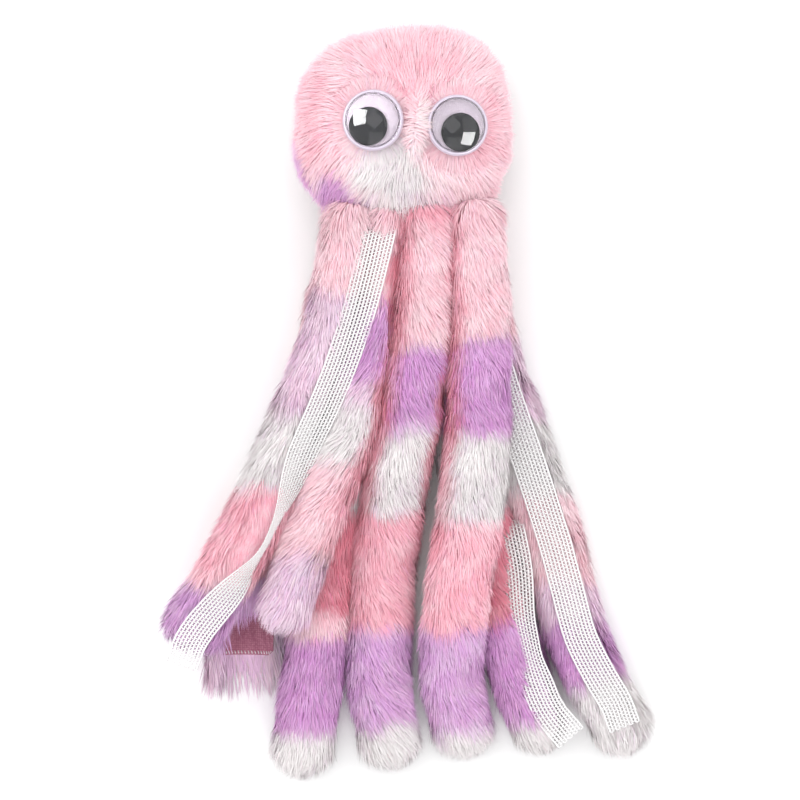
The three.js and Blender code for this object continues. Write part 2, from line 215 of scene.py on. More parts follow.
def grid_faces(rows, columns):
    """Quads of a grid of points, row after row, whose columns close round."""
    r, c = np.meshgrid(np.arange(rows - 1), np.arange(columns), indexing="ij")
    n = (c + 1) % columns
    quads = np.stack([r * columns + c, r * columns + n, (r + 1) * columns + n, (r + 1) * columns + c], -1)
    return quads.reshape(-1, 4)


# ---- materials ----------------------------------------------------------------------------------------


def new_material(name, colour, roughness, **sockets):
    material = bpy.data.materials.new(name)
    material.use_nodes = True
    shader = material.node_tree.nodes["Principled BSDF"]
    shader.inputs["Base Color"].default_value = (*[float(c) for c in colour], 1)
    shader.inputs["Roughness"].default_value = roughness
    for socket, value in sockets.items():
        shader.inputs[socket.replace("_", " ")].default_value = value
    material.diffuse_color = (*[float(c) for c in colour], 1)
    return material, material.node_tree, shader


def add_node(tree, kind, **values):
    node = tree.nodes.new(kind)
    for name, value in values.items():
        if name in node.inputs:
            node.inputs[name].default_value = value
        else:
            setattr(node, name, value)
    return node


def add_ramp(tree, stops):
    ramp = tree.nodes.new("ShaderNodeValToRGB")
    elements = ramp.color_ramp.elements
    while len(elements) < len(stops):
        elements.new(0.5)
    for element, (position, colour) in zip(elements, stops):
        element.position = position
        element.color = (*[float(c) for c in colour], 1)
    return ramp


def bumped(tree, shader, height, distance, strength=0.5):
    bump = add_node(tree, "ShaderNodeBump", Strength=strength, Distance=distance)
    tree.links.new(height, bump.inputs["Height"])
    tree.links.new(bump.outputs["Normal"], shader.inputs["Normal"])


def mottled(name, dark, light, size, roughness, bump=0.0003, **sockets):
    """Fabric or plastic whose colour drifts between two tones, with a fine bump of that size."""
    material, tree, shader = new_material(name, (np.array(dark) + light) / 2, roughness, **sockets)
    place = tree.nodes.new("ShaderNodeTexCoord")
    noise = add_node(tree, "ShaderNodeTexNoise", Scale=1 / size, Detail=4.0)
    tree.links.new(place.outputs["Object"], noise.inputs["Vector"])
    ramp = add_ramp(tree, ((0.35, dark), (0.65, light)))
    tree.links.new(noise.outputs["Fac"], ramp.inputs["Fac"])
    tree.links.new(ramp.outputs["Color"], shader.inputs["Base Color"])
    bumped(tree, shader, noise.outputs["Fac"], bump)
    return material


def knitted(name, dark, light, pitch):
    """The fur's knitted backing: rows of small loops."""
    material, tree, shader = new_material(name, light, 0.9, Sheen_Weight=0.3)
    place = tree.nodes.new("ShaderNodeTexCoord")
    loops = add_node(tree, "ShaderNodeTexVoronoi", Scale=1 / pitch, Randomness=0.35)
    tree.links.new(place.outputs["Object"], loops.inputs["Vector"])
    ramp = add_ramp(tree, ((0.1, light), (0.75, dark)))
    tree.links.new(loops.outputs["Distance"], ramp.inputs["Fac"])
    tree.links.new(ramp.outputs["Color"], shader.inputs["Base Color"])
    bumped(tree, shader, loops.outputs["Distance"], -0.0004)
    return material


def undercoat(name):
    """The fabric below the pile: the dye painted on each point, broken up by the roots of the hairs."""
    material, tree, shader = new_material(name, DYE["pink"], 0.95, Sheen_Weight=0.2)
    dye = add_node(tree, "ShaderNodeAttribute", attribute_name="dye")
    place = tree.nodes.new("ShaderNodeTexCoord")
    noise = add_node(tree, "ShaderNodeTexNoise", Scale=1 / (1.2 * MM), Detail=3.0)
    tree.links.new(place.outputs["Object"], noise.inputs["Vector"])
    roots = add_ramp(tree, ((0.3, (0.9, 0.87, 0.89)), (0.7, (1, 1, 1))))
    tree.links.new(noise.outputs["Fac"], roots.inputs["Fac"])
    mix = add_node(tree, "ShaderNodeMix", data_type="RGBA", blend_type="MULTIPLY")
    mix.inputs["Factor"].default_value = 1.0
    tree.links.new(dye.outputs["Color"], mix.inputs[6])
    tree.links.new(roots.outputs["Color"], mix.inputs[7])
    tree.links.new(mix.outputs[2], shader.inputs["Base Color"])
    bumped(tree, shader, noise.outputs["Fac"], 0.0006)
    return material


def make_shades():
    """One hair material for each dye and each step between two dyes that run together, in three tones."""
    colours, materials = [], []
    mixes = {name: DYE[name] for name in DYES}
    for a, b in LADDERS:
        for i in (1, 2, 3):
            mixes[f"{a}_{b}_{i}"] = DYE[a] * (1 - i / 4) + DYE[b] * i / 4
    for name, colour in mixes.items():
        for tone, gain in TONES.items():
            shade = np.clip(colour * gain, 0, 0.95)
            colours.append(shade)
            materials.append((f"hair_{name}_{tone}", shade))
    return np.array(colours), materials


SHADES, SHADE_NAMES = make_shades()
hair_materials = {}


def hair_material(index):
    if index not in hair_materials:
        name, colour = SHADE_NAMES[index]
        hair_materials[index] = new_material(
            name, colour, 0.62, Specular_IOR_Level=0.3, Sheen_Weight=0.35, Sheen_Roughness=0.35
        )[0]
    return hair_materials[index]


SHADE_STEPS = 48  # cells along each side of the table of nearest shades
cube = (np.stack(np.meshgrid(*[np.arange(SHADE_STEPS)] * 3, indexing="ij"), -1) + 0.5) / SHADE_STEPS
NEAREST_SHADE = np.stack(
    [((plane[..., None, :] - np.sqrt(SHADES)) ** 2).sum(-1).argmin(-1) for plane in cube]
).astype(np.int32)


def nearest_shades(colours):
    """The hair shade closest to each colour, by number."""
    at = (np.sqrt(np.clip(colours, 0, 0.999)) * SHADE_STEPS).astype(np.int32)
    return NEAREST_SHADE[at[:, 0], at[:, 1], at[:, 2]]


# ---- camera, floor and light --------------------------------------------------------------------------


def aim(thing, target):
    way = Vector(target) - thing.location
    thing.rotation_mode = "QUATERNION"
    thing.rotation_quaternion = way.to_track_quat("-Z", "Y")


VIEW_WIDTH = 0.480  # what the picture shows across, at the height of the arms
CAMERA_HEIGHT = 1.65
SUBJECT_HEIGHT = 0.045
LOOK_AT = ((CAD_LOW.x + CAD_HIGH.x) / 2 - 5 * MM, (CAD_LOW.y + CAD_HIGH.y) / 2 + 1 * MM)

camera_data = bpy.data.cameras.new("camera")
camera_data.lens = camera_data.sensor_width * (CAMERA_HEIGHT - SUBJECT_HEIGHT) / VIEW_WIDTH
camera = bpy.data.objects.new("camera", camera_data)
camera.location = (*LOOK_AT, CAMERA_HEIGHT)
bpy.context.scene.collection.objects.link(camera)
bpy.context.scene.camera = camera
bpy.context.scene.view_settings.view_transform = "Standard"

FLOOR_HALF = 3.0
floor = make_piece(
    "floor",
    [(x * FLOOR_HALF, y * FLOOR_HALF, 0) for x, y in ((-1, -1), (1, -1), (1, 1), (-1, 1))],
    [[(0, 1, 2, 3)]],
    [mottled("floor_paper", (0.93, 0.93, 0.93), (0.95, 0.95, 0.95), 0.05, 0.9, bump=0.00002)],
)


def add_softbox(name, way, distance, size, power, glossy, roll=0.0):
    """A square area light in direction way from the toy. It shows in gloss alone or in all but gloss."""
    data = bpy.data.lights.new(name, "AREA")
    data.shape = "SQUARE"
    data.size = size
    data.energy = power
    light = bpy.data.objects.new(name, data)
    light.location = Vector(way).normalized() * distance + Vector((0, 0, SUBJECT_HEIGHT))
    bpy.context.scene.collection.objects.link(light)
    aim(light, (0, 0, SUBJECT_HEIGHT))
    light.rotation_quaternion @= Quaternion((0, 0, 1), roll)
    light.visible_glossy = glossy
    light.visible_diffuse = not glossy
    return light


FILL_SIZE, GLOSS_SIZE = 1.8, 0.66
FILLS = (
    ("fill_top", (-0.1, 0.1, 1), 2.4, 16),
    ("fill_left", (-1, 0.5, 0.9), 2.2, 13),
    ("fill_right", (1, 0.2, 0.9), 2.2, 10),
    ("fill_crown", (0.1, 1, 0.7), 2.2, 8),
    ("fill_arms", (0, -1, 0.7), 2.2, 11),
)
GLOSSES = (
    ("left", (-0.744, 0.343, 0.574), 0.9, 20, 0.35),
    ("right", (0.703, -0.45, 0.55), 0.9, 14, 0.5),
)
for name, way, distance, power in FILLS:
    add_softbox(name, way, distance, FILL_SIZE, power, glossy=False)
gloss_lights = {
    side: add_softbox(f"gloss_{side}", way, distance, GLOSS_SIZE, power, glossy=True, roll=roll)
    for side, way, distance, power, roll in GLOSSES
}

world = bpy.data.worlds.new("studio")
world.use_nodes = True
world.node_tree.nodes["Background"].inputs["Color"].default_value = (1, 1, 1, 1)
world.node_tree.nodes["Background"].inputs["Strength"].default_value = 0.77
bpy.context.scene.world = world


# ---- the CAD nodes' sections --------------------------------------------------------------------------


def edges_of(names):
    """The two ends of every edge of some CAD nodes, as two arrays."""
    starts, ends = [], []
    for name in names:
        mesh = frame["nodes"][name].data
        co = np.empty(len(mesh.vertices) * 3, np.float32)
        mesh.vertices.foreach_get("co", co)
        co = co.reshape(-1, 3).astype(float)
        pairs = np.empty(len(mesh.edges) * 2, np.int32)
        mesh.edges.foreach_get("vertices", pairs)
        pairs = pairs.reshape(-1, 2)
        starts.append(co[pairs[:, 0]])
        ends.append(co[pairs[:, 1]])
    return np.concatenate(starts), np.concatenate(ends)


def crossing(edges, y):
    """Where a set of edges crosses the plane at y, as points."""
    a, b = edges
    cut = (a[:, 1] - y) * (b[:, 1] - y) < 0
    a, b = a[cut], b[cut]
    share = (y - a[:, 1]) / (b[:, 1] - a[:, 1])
    return a + (b - a) * share[:, None]


def resampled(points, values, step):
    """A line and the values along it at even steps, with the arc lengths there."""
    lengths = np.concatenate([[0], np.cumsum(np.linalg.norm(np.diff(points, axis=0), axis=1))])
    count = max(int(round(lengths[-1] / step)), 4)
    at = np.linspace(0, lengths[-1], count + 1)
    pick = lambda rows: np.stack([np.interp(at, lengths, rows[:, k]) for k in range(rows.shape[1])], 1)
    return pick(points), pick(values), at


def softened(points, rounds):
    """The same line with its corners rounded and its ends kept."""
    points = points.copy()
    for _ in range(rounds):
        points[1:-1] = points[1:-1] * 0.5 + (points[:-2] + points[2:]) * 0.25
    return points


def nodes_of(arm, kind):
    return [f"arm_{arm}_{kind}{s}" for s in (("_upper", "_lower") if arm in SPLIT_ARMS else ("",))]


class Spine:
    """An arm's middle line from its seam to the middle of its round tip, or to its mouth, with frames there
    and the half-width and half-height of its CAD sleeve."""

    def __init__(self, arm):
        names = nodes_of(arm, "fur")
        edges = edges_of(names)
        low = min(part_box(n)[0].y for n in names)
        high = max(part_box(n)[1].y for n in names)
        self.open = arm in OPEN_ARMS
        tip = 0.0 if self.open else self.measured(crossing(edges, low + 30 * MM))[4]
        rows = [
            self.measured(points)
            for y in np.arange(high - 1 * MM, low + max(2 * tip, 1 * MM), -4 * MM)
            if len(points := crossing(edges, y)) > 3
        ]
        rows = np.array(rows)
        middles = softened(rows[:, :3], 8)
        way = unit(middles[-1] - middles[-5])
        middles = np.vstack([middles, middles[-1] + way * (middles[-1][1] - low - tip) / -way[1]])
        halves = np.vstack([rows[:, 3:], rows[-1:, 3:]])
        self.points, halves, self.at = resampled(middles, halves, STEP)
        self.points = softened(self.points, 6)
        self.along = unit(np.gradient(self.points, axis=0))
        self.across = unit(np.cross((0, 0, 1), self.along))
        slant = -self.along[:, 1] / np.hypot(self.along[:, 0], self.along[:, 1])
        self.wide, self.tall = softened(halves[:, 0] * slant, 4), softened(halves[:, 1], 4)
        self.length = self.at[-1]

    @staticmethod
    def measured(points):
        """(x, y, z) of a section's middle, its half-width and its half-height."""
        low, high = points.min(0), points.max(0)
        return (*(low + high) / 2, (high[0] - low[0]) / 2, (high[2] - low[2]) / 2)

    def sleeve(self, u, angle, inset=0.0):
        """(points, normals, ways along) on the fabric at arc lengths u and angles round the arm. Before the
        first station and past the last a round end closes it. An open arm's upper side ends early."""
        if self.open:
            back = MOUTH_STEP * smooth(np.sin(angle + 0.5) * 1.4 + 0.2)
            u = u - back * smooth((u - self.length) / MOUTH_REACH + 1)
        pick = lambda values: np.stack([np.interp(u, self.at, values[:, k]) for k in range(3)], -1)
        along, across = unit(pick(self.along)), unit(pick(self.across))
        up = np.cross(along, across)
        wide = np.interp(u, self.at, self.wide)[..., None] * SKIN_SHARE - inset
        tall = np.interp(u, self.at, self.tall)[..., None] * SKIN_SHARE - inset
        tip = np.clip((u[..., None] - self.length) / tall, 0, np.pi / 2)
        tip = tip + np.clip(u[..., None] / tall, -np.pi / 2, 0)
        c, s = np.cos(angle)[..., None], np.sin(angle)[..., None]
        radial = across * wide * c + up * tall * s
        points = pick(self.points) + radial * np.cos(tip) + along * tall * np.sin(tip)
        normals = unit(across * c / wide + up * s / tall) * np.cos(tip) + along * np.sin(tip)
        return points, unit(normals), unit(along * np.cos(tip) - unit(radial) * np.sin(tip))


# ---- fur ----------------------------------------------------------------------------------------------


def dyed(points, bands, seed):
    """The dye at each point of an arm, with edges that wander between two bands."""
    wander = 3.5 * MM * ripple(points, 14 * MM, seed)
    y = points[:, 1] - DYE_DRIFT + wander + 1.5 * MM * ripple(points, 5 * MM, seed + 1)
    colours = np.tile(DYE[bands[0]], (len(points), 1))
    for level, name in bands[1:]:
        share = smooth((level * MM - y) / BAND_BLUR + 0.5)[:, None]
        colours = colours * (1 - share) + DYE[name] * share
    return colours


def grow_pile(name, roots, normals, flow, length, lean, colours, cells, rng):
    """Hairs as tapered ribbons. Each leaves its root at the lean angle, bows down along flow, and its tip
    gathers with the others of its cells, the small and the large. They are shaded like the surface that they
    make together. Their root halves are darkened as painted shade deep in the pile, and their tip halves
    lightened towards white as painted light."""
    count = len(roots)
    side = np.cross(normals, flow)
    flow = unit(flow + side * rng.normal(0, FLOW_SPREAD, count)[:, None])
    lean = np.maximum(lean * (1 + rng.normal(0, LEAN_SPREAD, count)), 0.05)[:, None]
    bowed = lean - 0.45 * np.sin(2 * lean)
    start = flow * np.cos(lean) + normals * np.sin(lean)
    end = flow * np.cos(bowed) + normals * np.sin(bowed)
    length = (length * rng.uniform(0.72, 1.2, count))[:, None]
    knee = roots + start * length * 0.5
    tip = knee + end * length * 0.5
    for ids, share in zip(cells, TUFT_SHARES):
        tip = gathered(tip, ids, share)
        knee = gathered(knee, ids, share * 0.35)
    roll = rng.normal(0, ROLL_SPREAD, count)[:, None]
    wide = unit(np.cross(end, normals)) * np.cos(roll) + normals * np.sin(roll)
    outwards = normals + np.array((0, 0, 0.6))
    wide = wide * np.sign((np.cross(wide, end) * outwards).sum(1, keepdims=True))
    half = (HAIR_WIDTH / 2 * rng.uniform(0.7, 1.3, count))[:, None]
    half = wide * half
    vertices = np.stack([roots - half, roots + half, knee - half, knee + half, tip], 1)
    lowest = FLOOR_GAP + rng.uniform(0, 0.6, count)[:, None] * MM
    vertices[..., 2] = np.maximum(vertices[..., 2], lowest)
    base = np.arange(count)[:, None] * 5
    own = unit(np.cross(wide, end))
    facing = normals * np.where(normals[:, 2:] < 0, (1, 1, DOWNWARD_LIGHT), 1)
    shading = unit(facing * SKIN_LIGHT + own * OWN_LIGHT + np.array((0, 0, SKY_LIGHT)))
    tone = 1 + rng.normal(0, 0.025, count)[:, None]
    jitter = rng.normal(0, 0.010, (count, 3))
    colours = colours ** (1 + 0.2 * ripple(roots, 6 * MM, 90)[:, None])
    # The root halves are darkened and deepened (the 1.12 power) as painted shade deep in the pile. The tip halves
    # are mixed with white as painted light.
    shaded_root_shades = nearest_shades(colours**1.12 * tone + jitter)
    lit_tip_shades = nearest_shades(colours * tone * (1 - TIP_PAINTED_LIGHT) + TIP_PAINTED_LIGHT * DYE["white"] + jitter)
    used, slots = np.unique(np.concatenate([shaded_root_shades, lit_tip_shades]), return_inverse=True)
    return make_piece(
        name,
        vertices.reshape(-1, 3),
        [base + (0, 1, 3, 2), base + (2, 3, 4)],
        [hair_material(i) for i in used],
        slots,
        np.repeat(shading, 5, axis=0),
    )


def gathered(points, cells, share):
    """Points drawn towards the mean of their cell."""
    counts = np.bincount(cells)
    means = np.stack([np.bincount(cells, points[:, k]) / np.maximum(counts, 1) for k in range(3)], 1)
    return points * (1 - share) + means[cells] * share


def cell_ids(coordinates, size, seed):
    """Which tuft each point belongs to: a grid of that size, warped so that no rows show."""
    warp = np.stack([ripple(coordinates, size * 1.7, seed + k) for k in range(coordinates.shape[1])], 1)
    keys = np.floor(coordinates / size + warp * 0.8).astype(np.int64)
    return np.unique(keys, axis=0, return_inverse=True)[1].ravel()


def paint_dye(piece, colours):
    attribute = piece.data.color_attributes.new("dye", "FLOAT_COLOR", "POINT")
    attribute.data.foreach_set("color", np.c_[colours, np.ones(len(colours))].astype(np.float32).ravel())


# ---- arms ---------------------------------------------------------------------------------------------

SIDES = 24
TIP_RINGS = 5
BORE_DEPTH = 50 * MM  # how far up an open arm its lining is built
MOUTH_STEP = 40 * MM  # how much further an open arm's lower side reaches than its upper side
MOUTH_REACH = 90 * MM  # the length over which that difference comes in
UNDERCOAT = undercoat("fur_undercoat")
LINING = knitted("lining_knit", linear((150, 88, 110)), linear((192, 130, 148)), 1.3 * MM)
FILLING = mottled("polyester_filling", (0.78, 0.77, 0.75), (0.9, 0.9, 0.88), 4 * MM, 1.0, bump=0.001)
ARM_LEAN = 0.7  # how far the hairs stand up from the skin, in radians
UNDERSIDE = -0.55  # an arm's fur is thinned where the sine of the angle round it is below this
CREVICE_SHADE_SHARE = 0.75  # how much of the painted crevice shade the sides take
# How far the fur is turned about each arm, in radians at its top.
COMBED = {"a": 0.25, "b": 0.1, "c": -0.3, "d": 0.1, "e": 0.55, "f": 0.3, "g": 0.2, "h": -0.25}
STRAP_HIDDEN = 12 * MM  # the fur covers this much of a strap's sewn end


def above_floor(points, height=FLOOR_GAP):
    points = points.copy()
    points[..., 2] = np.maximum(points[..., 2], height)
    return points


def make_sleeve(name, spine, inset, materials):
    """An arm's fabric, or what fills it. An open arm's is a bag with its lining turned inside."""
    around = np.linspace(0, 2 * np.pi, SIDES, endpoint=False)
    root = np.linspace(-1.5, -0.3, TIP_RINGS) * (spine.tall[0] * SKIN_SHARE - inset)
    if spine.open:
        bore = spine.at[spine.at > spine.length - BORE_DEPTH][::-1]
        outer = np.broadcast_arrays(np.append(root, spine.at)[:, None], around)
        inner = np.broadcast_arrays(bore[:, None], around)
        points = np.concatenate(
            [
                above_floor(spine.sleeve(*outer, inset)[0]),
                above_floor(spine.sleeve(*inner, inset + FABRIC)[0], FLOOR_GAP + FABRIC),
            ]
        )
    else:
        tips = np.linspace(0.3, 1.5, TIP_RINGS) * (spine.tall[-1] * SKIN_SHARE - inset)
        u = np.concatenate([root, spine.at, spine.length + tips])
        points = above_floor(spine.sleeve(*np.broadcast_arrays(u[:, None], around), inset)[0])
    rows = len(points)
    ends = np.array([np.arange(SIDES)[::-1], (rows - 1) * SIDES + np.arange(SIDES)])
    indices = np.zeros((rows - 1) * SIDES + 2)
    if spine.open:
        indices[(len(root) + len(spine.at) - 1) * SIDES : -2] = 1
    return make_piece(name, points.reshape(-1, 3), [grid_faces(rows, SIDES), ends], materials, indices)


def make_filling(arm, spine):
    """The fibre inside an arm, which stops short of an open arm's bore."""
    around = np.linspace(0, 2 * np.pi, SIDES, endpoint=False)
    u = spine.at[spine.at < spine.length - BORE_DEPTH - 4 * MM] if spine.open else spine.at
    points = spine.sleeve(*np.broadcast_arrays(u[:, None], around), 2 * FABRIC)[0]
    points = above_floor(points, FLOOR_GAP + 2 * FABRIC)
    ends = np.array([np.arange(SIDES)[::-1], (len(u) - 1) * SIDES + np.arange(SIDES)])
    faces = [grid_faces(len(u), SIDES), ends]
    piece = make_piece(f"arm_{arm}_filling", points.reshape(-1, 3), faces, [FILLING])
    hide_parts(*nodes_of(arm, "stuffing"))
    return piece


def under_strap(arm, points):
    """1 for the points that the arm's strap covers, falling to 0 beyond its edges and past its cut end."""
    path, wide, at = STRAP_PATHS[arm]
    apart = (points**2).sum(1)[:, None] + (path**2).sum(1) - 2 * points @ path.T
    nearest = apart.argmin(1)
    offset = points - path[nearest]
    aside = np.abs((offset * wide[nearest]).sum(1))
    near = np.linalg.norm(offset, axis=1) < PRESS_DEPTH
    near &= (at[nearest] > STRAP_HIDDEN) & (nearest < len(path) - 1)
    return smooth((PRESS_HALF_WIDTH - aside) / PRESS_EDGE) * near


def make_arm_pile(arm, spine):
    """The fur of an arm, round ends included, thinner underneath, pressed down by the strap and longer at
    the hem of an open arm."""
    rng = seeded("pile_" + arm)
    skin = spine.tall.mean() * SKIN_SHARE
    girth = 2 * np.pi * max(skin, (spine.wide.max() + spine.tall.min()) / 2 * SKIN_SHARE)
    cap = 0.0 if spine.open else skin * np.pi / 2
    cap_at_root = spine.tall[0] * SKIN_SHARE * np.pi / 2
    count = int(PILE_DENSITY * girth * (cap_at_root + spine.length + cap))
    u = rng.uniform(-cap_at_root, spine.length + cap, count)
    angle = rng.uniform(0, 2 * np.pi, count)
    inwards = np.clip(-u / cap_at_root, 0, 1)
    narrowing = np.cos(np.clip((u - spine.length) / skin, 0, np.pi / 2)) * smooth((0.8 - inwards) / 0.2)
    hem = smooth((u - spine.length) / (16 * MM) + 1) * spine.open
    underside = np.sin(angle) < UNDERSIDE
    keep = rng.random(count) < narrowing * np.where(underside, np.maximum(HIDDEN_SHARE, hem), 1)
    u, angle, hem, inwards = u[keep], angle[keep], hem[keep], inwards[keep]
    roots, normals, along = spine.sleeve(u, angle)
    roots = above_floor(roots)
    round_way = np.cross(along, normals)
    noise_at = np.stack([u, skin * np.cos(angle), skin * np.sin(angle)], 1)
    swirl = COMBED[arm] * np.sin(angle) + 0.25 * ripple(noise_at, 26 * MM, 3)
    swirl = swirl + 0.15 * ripple(noise_at, 9 * MM, 4)
    flow = unit(along * np.cos(swirl)[:, None] - round_way * np.sin(swirl)[:, None])
    lean = ARM_LEAN + 0.1 * ripple(noise_at, 18 * MM, 5)
    pressed = np.maximum(under_strap(arm, roots), 0.7 * under_strap(arm, roots + flow * PILE * 0.7))
    lean = lean * (1 - 0.85 * pressed) * (1 - 0.75 * hem) * (1 - 0.8 * inwards)
    hang = np.where(np.sin(angle) < 0, 0.9, 0.3 - 0.6 * np.cos(angle))
    length = PILE * (1 - 0.35 * pressed) * (1 + hem * hang)
    colours = dyed(roots, BANDS[arm], 7)
    for side in CREVICE_SHADE_SIDES.get(arm, ()):
        # Painted shade: the sides that meet a neighbour are tinted towards rose, fading out down the arm.
        deep = smooth((side * np.cos(angle) - 0.45) / 0.5) * smooth((roots[:, 1] - CREVICE_SHADE_END) / (90 * MM))
        deep = (CREVICE_SHADE_SHARE * deep)[:, None]
        colours = colours * (1 - deep) + DYE["rose"] * deep
    colours = colours * (1 + 0.05 * ripple(noise_at, 12 * MM, 6))[:, None]
    cells = [cell_ids(noise_at, 3.2 * MM, 20), cell_ids(noise_at, 8 * MM, 24)]
    piece = grow_pile(f"arm_{arm}_pile", roots, normals, flow, length, lean, colours, cells, rng)
    return piece


def make_hem_stitches(arm, spine):
    """Small white stitches along the lower edge of an open arm's mouth, inside it."""
    edge = spine.length - 1.6 * MM
    angles = np.linspace(np.pi * 1.08, np.pi * 1.92, 24)
    vertices, faces = [], []
    for i, angle in enumerate(angles):
        u = np.array([edge - 0.9 * MM, edge + 0.9 * MM])
        points, normals, along = spine.sleeve(u, np.array([angle, angle + 0.03]), FABRIC + 0.15 * MM)
        points = above_floor(points, FLOOR_GAP + FABRIC + 0.2 * MM)
        wide = unit(np.cross(along, normals)) * 0.3 * MM
        stitch, quads = ribbon(points, wide, normals * 0.2 * MM)
        vertices.append(stitch)
        faces.append(quads + i * len(stitch))
    piece = make_piece(f"arm_{arm}_hem_stitches", np.vstack(vertices), [np.vstack(faces)], [WEBBING])
    return piece


# ---- webbing ------------------------------------------------------------------------------------------

STRAPS_ON_TOP = "agh"
CORDS = 10  # warp cords across a strap
ROW = 2.1 * MM  # spacing of the threads between two cords
CORD_WIDTH = 1.1 * MM
CORD_THICKNESS = 0.5 * MM
THREAD_WIDTH = 0.8 * MM
TUCK_DEPTH = 9 * MM  # how far a strap's first end dives into the fur, where it is sewn in
TUCK_REACH = 16 * MM
TWIST_LIFT = 5 * MM  # how far a strap standing on its edge is raised out of the fur
# Where a strap is twisted out of flat: the angle in degrees, and four levels along Y in mm, between which the
# twist comes in and goes out again.
TWISTS = {"a": (-34, -30, -74, -90, -120), "g": (58, -60, -80, -150, -184)}


def strap_path(arm):
    """(middles, widthwise ways, arc lengths) of a strap, worked out from the CAD nodes it stands for."""
    names = nodes_of(arm, "strap")
    edges = edges_of(names)
    low = min(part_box(n)[0].y for n in names)
    high = max(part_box(n)[1].y for n in names)
    margin = 7 * MM
    middles, ways = [], []
    for y in np.arange(high - margin, low + margin, -4 * MM):
        points = crossing(edges, y)
        if len(points) < 4:
            continue
        a = points[points[:, 0].argmin()]
        b = points[points[:, 0].argmax()]
        middles.append((points.min(0) + points.max(0)) / 2)
        ways.append(b - a)
    middles = softened(np.array(middles), 4)
    ways = unit(softened(unit(np.array(ways)), 6))
    first = unit(middles[0] - middles[2])
    last = unit(middles[-1] - middles[-3])
    middles = np.vstack([middles[0] + first * margin, middles, middles[-1] + last * margin])
    ways = np.vstack([ways[0], ways, ways[-1]])
    new_middles, new_ways, at = resampled(middles, ways, ROW / 2)
    if arm in STRAPS_ON_TOP:
        new_middles[:, 2] -= TUCK_DEPTH * smooth(1 - at / TUCK_REACH)
    along = unit(np.gradient(new_middles, axis=0))
    new_ways = unit(new_ways - along * (new_ways * along).sum(1)[:, None])
    if arm in TWISTS:
        turn, *levels = TWISTS[arm]
        y = new_middles[:, 1] / MM
        share = smooth((levels[0] - y) / (levels[0] - levels[1]))
        share = share * smooth((y - levels[3]) / (levels[2] - levels[3]))
        turn = (np.radians(turn) * share)[:, None]
        new_ways = new_ways * np.cos(turn) + np.cross(along, new_ways) * np.sin(turn)
        new_middles[:, 2:] += TWIST_LIFT * np.abs(np.sin(turn))
    return new_middles, new_ways, at


def ribbon(centre, wide, thick):
    """A flat four-sided tube along centre: half-width and half-thickness vectors at each point."""
    count = len(centre)
    rings = np.stack([centre - wide, centre - thick, centre + wide, centre + thick], 1)
    ends = np.array([[3, 2, 1, 0], [4 * count - 4 + k for k in range(4)]])
    return rings.reshape(-1, 3), np.vstack([grid_faces(count, 4), ends])


def make_webbing(arm):
    """A strap as an open mesh: cords along it and threads between each two, set off row by row."""
    path, wide, at = STRAP_PATHS[arm]
    along = unit(np.gradient(path, axis=0))
    out = np.cross(along, wide)
    out = out * np.sign(out[:, 2:3].mean())
    rng = seeded("webbing_" + arm)
    vertices, faces, total = [], [], 0

    def keep(parts):
        nonlocal total
        points, quads = parts
        vertices.append(points)
        faces.append(quads + total)
        total += len(points)

    span = STRAP_WIDTH / 2 - CORD_WIDTH / 2
    places = np.linspace(-span, span, CORDS)
    weave = np.where(np.arange(len(path)) % 2 == 0, 1, -1)
    middle = path + out * (0.5 * MM * ripple(path, 30 * MM, 40))[:, None]
    for i, place in enumerate(places):
        edge = i in (0, CORDS - 1)
        side = 1 if i % 2 else -1
        wander = (0 if edge else 0.28 * MM) * weave * side + rng.normal(0, 0.05 * MM, len(path))
        centre = middle + wide * (place + wander)[:, None] + out * (0.12 * MM * weave * side)[:, None]
        keep(ribbon(centre, wide * CORD_WIDTH / 2 * (1.15 if edge else 0.9), out * CORD_THICKNESS / 2))
    for i in range(CORDS - 1):
        for row in range(i % 2, len(path), 2):
            ends = middle[row] + wide[row] * places[i : i + 2, None]
            lift = out[row] * (0.15 * MM if (row // 2) % 2 else -0.15 * MM)
            keep(
                ribbon(
                    ends + lift,
                    np.tile(along[row] * THREAD_WIDTH / 2, (2, 1)),
                    np.tile(out[row] * CORD_THICKNESS * 0.4, (2, 1)),
                )
            )
    piece = make_piece(f"arm_{arm}_webbing", np.vstack(vertices), [np.vstack(faces)], [WEBBING])
    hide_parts(*nodes_of(arm, "strap"))
    return piece


WEBBING = mottled(
    "webbing_yarn", (0.86, 0.85, 0.85), (0.95, 0.94, 0.94), 1.5 * MM, 0.75, 0.0002, Sheen_Weight=0.3
)
SPINES = {arm: Spine(arm) for arm in ARMS}
STRAP_PATHS = {arm: strap_path(arm) for arm in ARMS}

arm_pieces = {}
for arm in ARMS:
    spine = SPINES[arm]
    fur = make_sleeve(f"arm_{arm}_skin", spine, 0.0, [UNDERCOAT, LINING])
    corners = np.array([v.co for v in fur.data.vertices])
    paint_dye(fur, dyed(corners, BANDS[arm], 7))
    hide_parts(*nodes_of(arm, "fur"))
    filling = make_filling(arm, spine)
    arm_pieces[arm] = [fur, filling, make_arm_pile(arm, spine), make_webbing(arm)]
    if spine.open:
        arm_pieces[arm].append(make_hem_stitches(arm, spine))

for arm in ARMS:
    spine = SPINES[arm]
    if arm in SPLIT_ARMS:
        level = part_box(f"arm_{arm}_fur_lower")[1].y
        at = int(np.abs(spine.points[:, 1] - level).argmin())
    for piece in arm_pieces[arm]:
        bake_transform(piece)


# ---- head ---------------------------------------------------------------------------------------------

